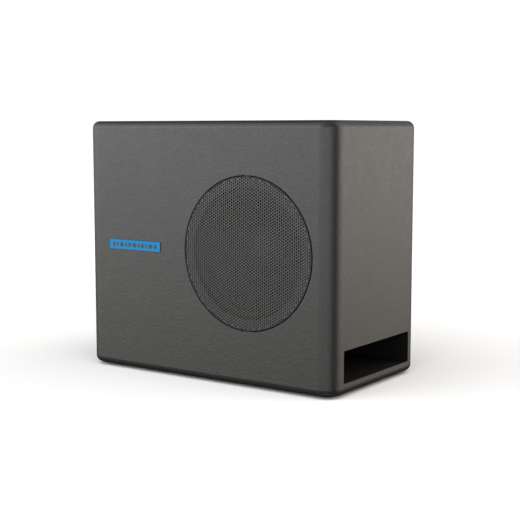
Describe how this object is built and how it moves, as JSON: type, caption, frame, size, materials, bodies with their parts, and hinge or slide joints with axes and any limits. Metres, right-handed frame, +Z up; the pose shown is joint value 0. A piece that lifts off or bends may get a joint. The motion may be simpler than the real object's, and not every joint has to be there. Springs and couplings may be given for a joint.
{
  "type": "powered car subwoofer",
  "caption": "Free-standing vinyl-wrapped cabinet with a woofer behind a round flush grille, a slot port low in its right side and an amplifier sunk in its back.",
  "frame": {"origin": "on the surface that the feet stand on, under the middle of the cabinet", "axes": "+Z up; the front with the grille faces -Y; +X to the right as seen from the front, towards the side with the slot port"},
  "size_m": [0.417, 0.2268, 0.353],
  "materials": {
    "vinyl": "fine leather-grain vinyl, matte",
    "board": "fibreboard, sprayed matte black where it shows",
    "rubber": "matte moulded rubber",
    "screw_black": "black zinc",
    "grille_steel": "perforated steel, satin black powder coat",
    "frame_steel": "black e-coat",
    "hoop_plastic": "moulded black plastic",
    "badge_blue": "blue plate, satin",
    "cone_fibre": "coated black fibre",
    "spider_cloth": "resin-dipped cotton",
    "former_foil": "thin foil",
    "copper": "enamelled copper wire",
    "plate_steel": "zinc-plated steel",
    "ferrite": "sintered ferrite",
    "brass": "plain brass",
    "tray_metal": "textured black powder coat",
    "sink_metal": "black anodised extrusion",
    "cover_steel": "galvanised sheet",
    "circuit_green": "solder mask",
    "capacitor_sleeve": "shrunk sleeve",
    "choke": "enamelled wire on a ring core",
    "plastic_black": "moulded, fine spark texture",
    "nickel": "nickel plate",
    "phono_plastic": "moulded insulators",
    "fuse_plastic": "clear-tinted blade fuse body",
    "lamp": "blue lens",
    "lead_red": "flexible insulation",
    "lead_black": "flexible insulation",
    "tinsel": "braided tinsel",
    "laminate": "phenolic board"
  },
  "bodies": {
    "cabinet": {"front_board": "board", "rear_board": "board", "base_board": "board", "top_board": "board", "left_board": "board", "right_board": "board", "port_shelf": "board", "vinyl_wrap": "vinyl", "rubber_feet": "rubber", "foot_screws": "screw_black", "badge_plate": "badge_blue", "grille_mesh": "grille_steel", "grille_hoop": "hoop_plastic", "woofer_frame": "frame_steel", "woofer_gasket": "rubber", "woofer_screws": "screw_black", "surround": "rubber", "surround_trim": "rubber", "spider": "spider_cloth", "top_plate": "plate_steel", "magnet": "ferrite", "yoke": "plate_steel", "terminal_strip": "laminate", "terminal_tabs": "brass", "tinsel_leads": "tinsel", "lead_red": "lead_red", "lead_black": "lead_black", "amp_tray": "tray_metal", "amp_cover": "cover_steel", "amp_gasket": "rubber", "tray_screws": "screw_black", "heatsink": "sink_metal", "lead_grommet": "rubber", "potentiometers": "plate_steel", "phase_switch": "plate_steel", "power_lamp": "lamp", "circuit_board": "circuit_green", "board_screws": "nickel", "capacitors": "capacitor_sleeve", "choke_coil": "choke", "power_transistors": "plastic_black", "phono_shells": "nickel", "phono_cores": "phono_plastic", "remote_socket": "plastic_black", "speaker_socket": "phono_plastic", "speaker_pins": "brass", "power_block": "plastic_black", "power_clamps": "nickel", "clamp_screws": "nickel"},
    "cone_assembly": {"cone": "cone_fibre", "dust_cap": "cone_fibre", "coil_former": "former_foil", "coil_winding": "copper"},
    "level_control": {"level_knob": "plastic_black", "level_shaft": "nickel"},
    "crossover_control": {"crossover_knob": "plastic_black", "crossover_shaft": "nickel"},
    "phase_control": {"phase_slider": "plastic_black"},
    "fuse": {"fuse_body": "fuse_plastic", "fuse_blades": "brass"}
  },
  "joints": [
    {"name": "cone_travel", "type": "slide", "parent": "cabinet", "child": "cone_assembly", "axis": [0, -1, 0], "range_m": [-0.0045, 0.0045], "stiffness_N_per_m": 4000, "deforming": ["surround", "spider", "tinsel_leads"]},
    {"name": "level_turn", "type": "hinge", "parent": "cabinet", "child": "level_control", "pos_m": [-0.092, 0.0985, 0.1615], "axis": [0, 1, 0], "range_deg": [-150, 150]},
    {"name": "crossover_turn", "type": "hinge", "parent": "cabinet", "child": "crossover_control", "pos_m": [-0.062, 0.0985, 0.1615], "axis": [0, 1, 0], "range_deg": [-150, 150]},
    {"name": "phase_slide", "type": "slide", "parent": "cabinet", "child": "phase_control", "axis": [1, 0, 0], "range_m": [0, 0.0032]},
    {"name": "fuse_pull", "type": "slide", "parent": "cabinet", "child": "fuse", "axis": [0, 1, 0], "range_m": [0, 0.01]}
  ]
}
